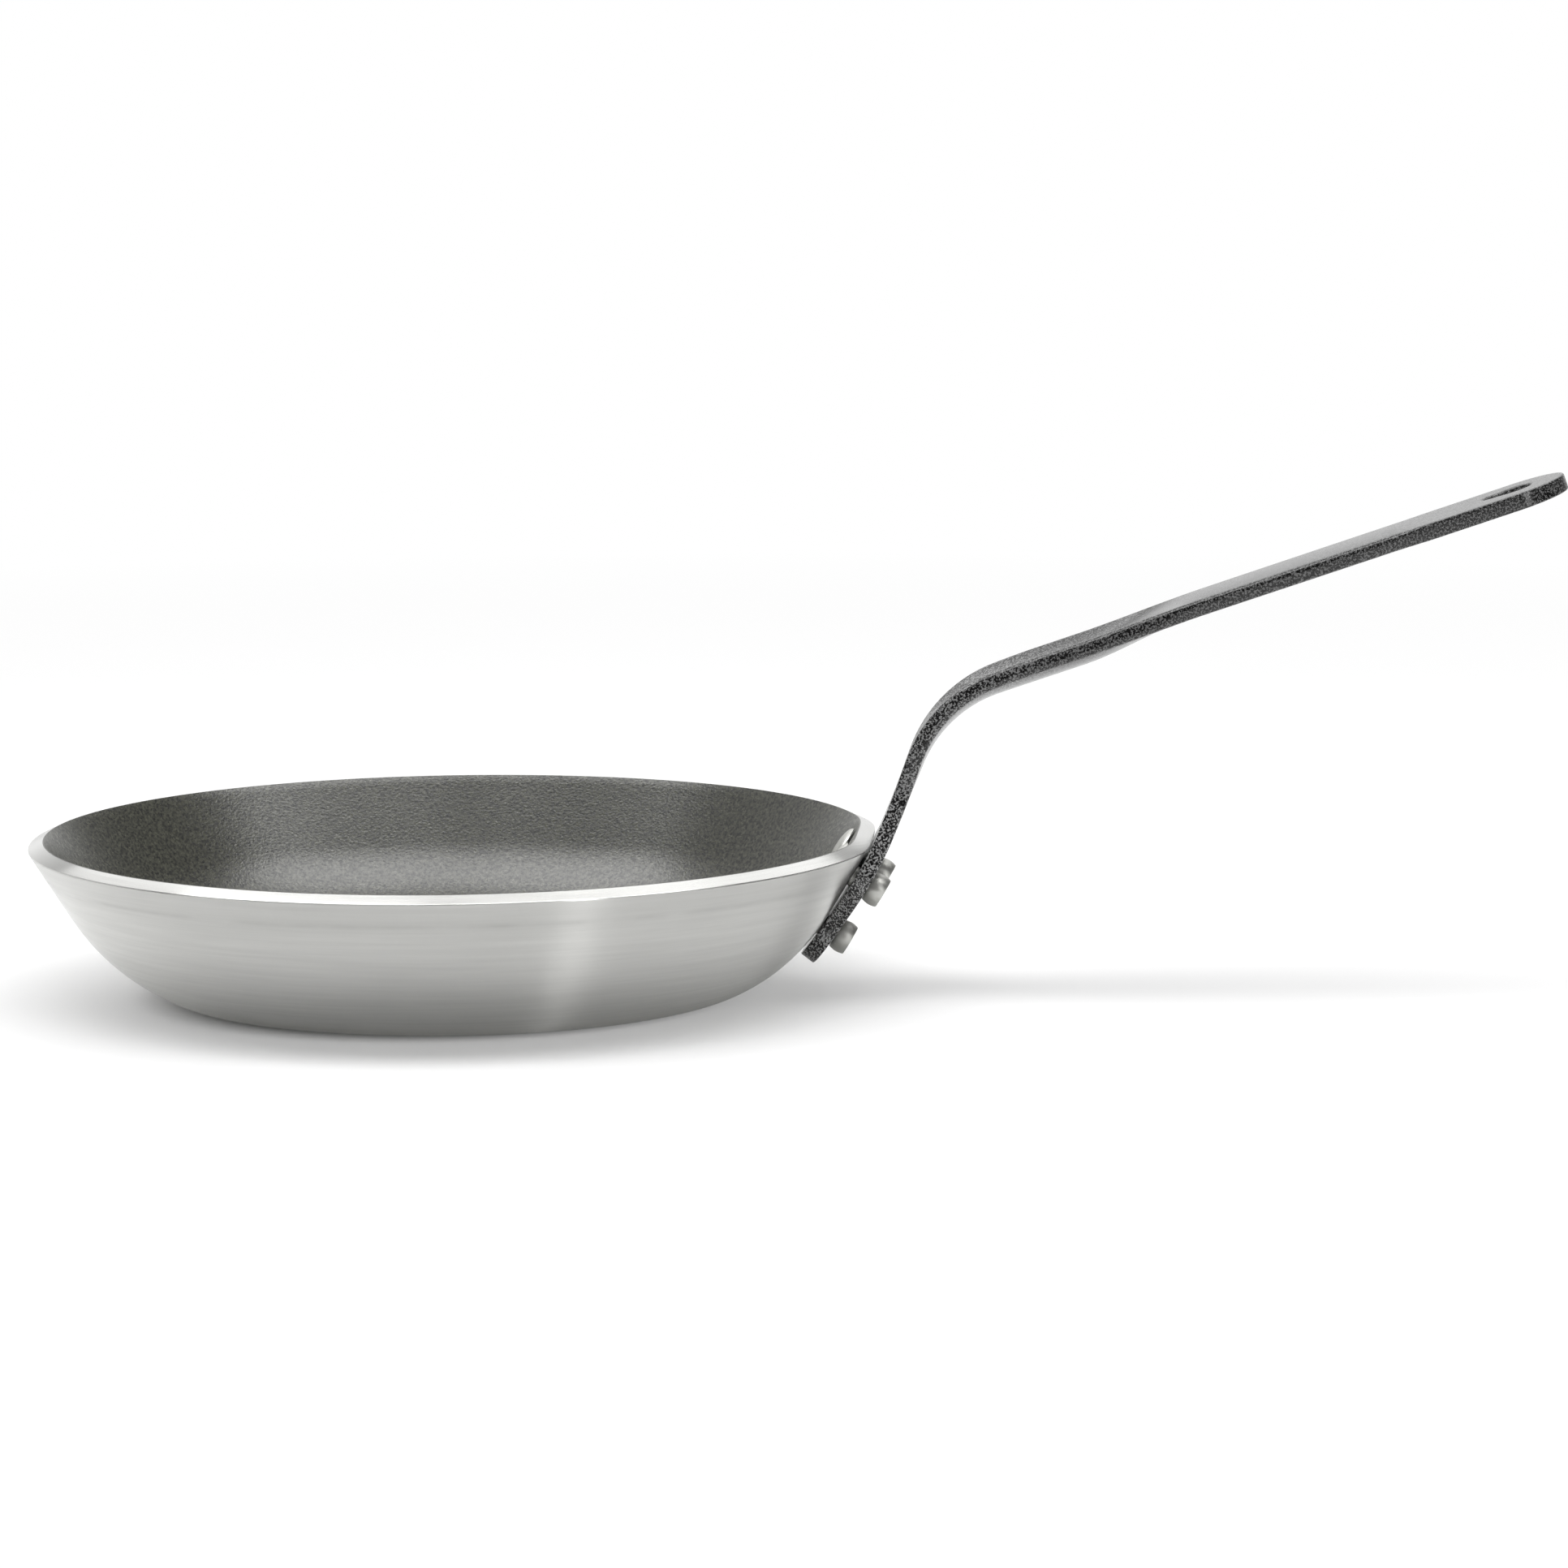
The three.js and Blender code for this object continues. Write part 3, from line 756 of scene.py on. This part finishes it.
def turned_aluminium():
    """Satin aluminium with fine lines round the axis, a little worn and with a faint ring under
    the rim, and brighter on the rim's bevel."""
    material, tree, shader = new_material("turned_aluminium")
    shader.inputs["Metallic"].default_value = 1
    shader.inputs["Anisotropic"].default_value = 1
    shader.inputs["Anisotropic Rotation"].default_value = QUARTER_TURN
    tangent = node(tree, "ShaderNodeTangent", direction_type="RADIAL", axis="Z")
    link(tree, tangent.outputs[0], shader, "Tangent")
    fine = noise(tree, round_axis(tree, *FINE_LINES), detail=3)
    broad = noise(tree, round_axis(tree, *BROAD_LINES), detail=3)
    patches = noise(tree, round_axis(tree, *RING_PATCHES), detail=3)
    coordinates = node(tree, "ShaderNodeTexCoord").outputs["Object"]
    height = node(tree, "ShaderNodeSeparateXYZ", {0: coordinates}).outputs[2]
    above_ring = math_node(tree, "SUBTRACT", height, WORN_RING_HEIGHT)
    from_ring = math_node(tree, "ABSOLUTE", above_ring, 0)
    ring = spread(tree, from_ring, 1, 0, 0, WORN_RING_HALF_WIDTH)
    patched = spread(tree, patches, 0, WORN_RING_SHARE, *RING_PATCH_RANGE)
    broken_ring = math_node(tree, "MULTIPLY", ring, patched)
    lines = mixed_colour(tree, spread(tree, broad, 0, 1), ALUMINIUM_DULL, ALUMINIUM_BRIGHT)
    worn_share = spread(tree, height, 0, WORN_WALL_SHARE, *WORN_WALL_HEIGHTS)
    worn = mixed_colour(tree, worn_share, lines, WORN_GREY)
    colour = mixed_colour(tree, broken_ring, worn, WORN_GREY)
    link(tree, colour, shader, "Base Color")
    brushed = spread(tree, fine, *BRUSHED_ROUGHNESS)
    on_bevel = spread(tree, height, 0, BEVEL_POLISH, *BEVEL_HEIGHTS)
    polish = math_node(tree, "SUBTRACT", 1, on_bevel)
    link(tree, math_node(tree, "MULTIPLY", brushed, polish), shader, "Roughness")
    link(tree, bump(tree, fine, LINE_BUMP), shader, "Normal")
    return material


def nonstick_coat():
    """A dark satin coat with a fine sparkle and an orange-peel skin over turned grooves."""
    material, tree, shader = new_material("nonstick_coat")
    coordinates = node(tree, "ShaderNodeTexCoord").outputs["Object"]
    speckle = noise(tree, coordinates, COAT_SPECKLE_SCALE, detail=3, roughness=0.6)
    peel = noise(tree, coordinates, COAT_PEEL_SCALE)
    grooves = noise(tree, round_axis(tree, *COAT_GROOVES), detail=1)
    sparkle = spread(tree, speckle, 0, 1, *COAT_SPARKLE_RANGE)
    colour = mixed_colour(tree, sparkle, COAT_DARK, COAT_SPARKLE)
    link(tree, colour, shader, "Base Color")
    link(tree, spread(tree, speckle, *COAT_ROUGHNESS), shader, "Roughness")
    shader.inputs["Specular IOR Level"].default_value = 1
    skin = bump(tree, peel, COAT_PEEL_BUMP)
    link(tree, bump(tree, grooves, COAT_GROOVE_BUMP, skin), shader, "Normal")
    return material


def speckled_paint():
    """Glossy black paint with fine pale specks and a pebbled skin, the specks fainter towards the
    tip as painted shade.
    """
    material, tree, shader = new_material("speckled_paint")
    coordinates = node(tree, "ShaderNodeTexCoord").outputs["Object"]
    grain = noise(tree, coordinates, PAINT_GRAIN_SCALE, roughness=0.6)
    pebbles = noise(tree, coordinates, PAINT_PEBBLE_SCALE)
    along = node(tree, "ShaderNodeSeparateXYZ", {0: coordinates}).outputs[0]
    # Painted shade: the specks grow fainter along the handle, darkening the grip and the tip end.
    painted_tip_shade = spread(tree, along, 1, SPECK_SHADE_SHARE, *SPECK_SHADE_PLACES)
    specks = math_node(tree, "MULTIPLY", spread(tree, grain, 0, 1, *PAINT_SPECK_RANGE), painted_tip_shade)
    colour = mixed_colour(tree, specks, PAINT_BLACK, PAINT_SPECK)
    link(tree, colour, shader, "Base Color")
    shader.inputs["Roughness"].default_value = PAINT_ROUGHNESS
    shader.inputs["IOR"].default_value = PAINT_IOR
    link(tree, bump(tree, pebbles, PAINT_BUMP), shader, "Normal")
    return material


def rivet_aluminium():
    """Satin aluminium with a faint cloudy surface."""
    material, tree, shader = new_material("rivet_aluminium_satin")
    shader.inputs["Metallic"].default_value = 1
    coordinates = node(tree, "ShaderNodeTexCoord").outputs["Object"]
    cloud = noise(tree, coordinates, RIVET_CLOUD_SCALE, detail=4, roughness=0.6)
    colour = mixed_colour(tree, spread(tree, cloud, 0, 1), RIVET_DULL, RIVET_BRIGHT)
    link(tree, colour, shader, "Base Color")
    link(tree, spread(tree, cloud, *RIVET_ROUGHNESS), shader, "Roughness")
    grain = noise(tree, coordinates, RIVET_GRAIN_SCALE)
    link(tree, bump(tree, grain, RIVET_BUMP), shader, "Normal")
    return material


# The pieces


def cut_rivet_holes(piece):
    for _, station, across, inner in rivet_places():
        radius = SHANK_RADIUS + SHANK_CLEARANCE
        place = strip_point(station, across, 0)
        cut_with(piece, cylinder_cutter(place, rivet_axis, radius, 2 * (HEAD_CLEARANCE - inner)))


def make_pan():
    body = turn_piece("turned_pan_body", body_section(), PAN_SIDES)
    lining = turn_piece("nonstick_lining_coat", lining_section(), PAN_SIDES)
    for piece in (body, lining):
        press_for_handle(piece)
        cut_rivet_holes(piece)
    finish_piece(body, "pan_body", turned_aluminium())
    finish_piece(lining, "nonstick_lining", nonstick_coat())


def make_handle():
    strip = make_strip()
    finish_piece(strip, "handle_strip", speckled_paint(), STRIP_SMOOTH_ANGLE)
    satin = rivet_aluminium()
    for name, station, across, inner in rivet_places():
        rivet = make_rivet(name, station, across, inner)
        finish_piece(rivet, name, satin)


# The studio


def make_camera():
    right = CAMERA_FORWARD.cross(CAMERA_UP).normalized()
    turn = Matrix((right, CAMERA_UP, -CAMERA_FORWARD)).transposed().to_4x4()
    deselect_all()
    bpy.ops.object.camera_add()
    camera = bpy.context.object
    camera.matrix_world = Matrix.Translation(CAMERA_PLACE) @ turn
    camera.data.lens = CAMERA_LENS
    camera.data.sensor_width = CAMERA_SENSOR
    bpy.context.scene.camera = camera


def make_floor():
    """A white floor that keeps the pan's shadow, darkest under its foot, and runs out to plain
    white. Metal sees that white only behind the pan, and less of it to either side."""
    deselect_all()
    bpy.ops.mesh.primitive_plane_add(size=FLOOR_SIZE)
    floor = bpy.context.object
    floor.name = "studio_floor"
    material, tree, shader = new_material("studio_floor_white")
    shader.inputs["Base Color"].default_value = FLOOR_WHITE
    shader.inputs["Roughness"].default_value = FLOOR_ROUGHNESS
    shader.inputs["Specular IOR Level"].default_value = 0
    coordinates = node(tree, "ShaderNodeTexCoord").outputs["Object"]
    along = node(tree, "ShaderNodeSeparateXYZ", {0: coordinates}).outputs[0]
    aside = math_node(tree, "ABSOLUTE", along, 0)
    reach = distance(tree, coordinates, (0, 0, 0))
    from_foot = distance(tree, coordinates, FOOT_SHADE_CENTRE)
    foot_lift = spread(tree, from_foot, 0, FLOOR_LIFT, *FOOT_SHADE)
    seen_lift = spread(tree, reach, foot_lift, 1, *WHITE_BEYOND)
    far_lift = spread(tree, reach, MIRRORED_LIFT, MIRRORED_FAR_LIFT, *WHITE_BEYOND)
    near_middle = spread(tree, aside, 1, 0, *MIRRORED_ASIDE)
    mirrored_lift = math_node(tree, "MULTIPLY", far_lift, near_middle)
    rays = node(tree, "ShaderNodeLightPath").outputs
    mirrored = math_node(tree, "MAXIMUM", rays["Is Glossy Ray"], rays["Is Transmission Ray"])
    seen_share = math_node(tree, "MULTIPLY", seen_lift, rays["Is Camera Ray"])
    mirrored_share = math_node(tree, "MULTIPLY", mirrored_lift, mirrored)
    share = math_node(tree, "MAXIMUM", seen_share, mirrored_share)
    white = node(tree, "ShaderNodeEmission", {"Color": WHITE, "Strength": 1}).outputs[0]
    mixed = node(tree, "ShaderNodeMixShader", {0: share, 1: shader.outputs[0], 2: white})
    tree.links.new(mixed.outputs[0], tree.nodes["Material Output"].inputs["Surface"])
    floor.data.materials.append(material)


def make_world():
    """A white backdrop low behind the pan, darker to the right, and a dark room elsewhere."""
    world = bpy.data.worlds.new("studio_room")
    world.use_nodes = True
    bpy.context.scene.world = world
    tree = world.node_tree
    background = tree.nodes["Background"]
    heading = node(tree, "ShaderNodeTexCoord").outputs["Generated"]
    parts = node(tree, "ShaderNodeSeparateXYZ", {0: heading}).outputs
    behind = spread(tree, parts[1], 0, 1, *BACKDROP_BEHIND)
    low = spread(tree, parts[2], 1, BACKDROP_UPPER_SHARE, *BACKDROP_RISE)
    left = spread(tree, parts[0], 1, BACKDROP_RIGHT_SHARE, *BACKDROP_RIGHT)
    share = math_node(tree, "MULTIPLY", math_node(tree, "MULTIPLY", behind, low), left)
    room = mixed_colour(tree, share, (ROOM_LEVEL, ROOM_LEVEL, ROOM_LEVEL, 1), WHITE)
    camera_ray = node(tree, "ShaderNodeLightPath").outputs["Is Camera Ray"]
    colour = mixed_colour(tree, camera_ray, room, WHITE)
    tree.links.new(colour, background.inputs["Color"])
    background.inputs["Strength"].default_value = 1


def add_softbox(name, place, aim, width, height, level, twist):
    """A soft lamp of that size, whose face is that many times as bright as white paper, turned
    about its own axis by a twist in degrees."""
    deselect_all()
    bpy.ops.object.light_add(type="AREA", location=place)
    lamp = bpy.context.object
    lamp.name = name
    lamp.data.shape = "RECTANGLE"
    lamp.data.size = width
    lamp.data.size_y = height
    lamp.data.energy = level * math.pi * width * height
    facing = (Vector(aim) - Vector(place)).to_track_quat("-Z", "Y")
    twisted = Quaternion((0, 0, 1), math.radians(twist))
    lamp.rotation_euler = (facing @ twisted).to_euler()


def make_studio():
    make_floor()
    make_world()
    for softbox in SOFTBOXES:
        add_softbox(*softbox)
    bpy.context.scene.view_settings.view_transform = "Standard"


make_camera()
make_pan()
make_handle()
make_studio()
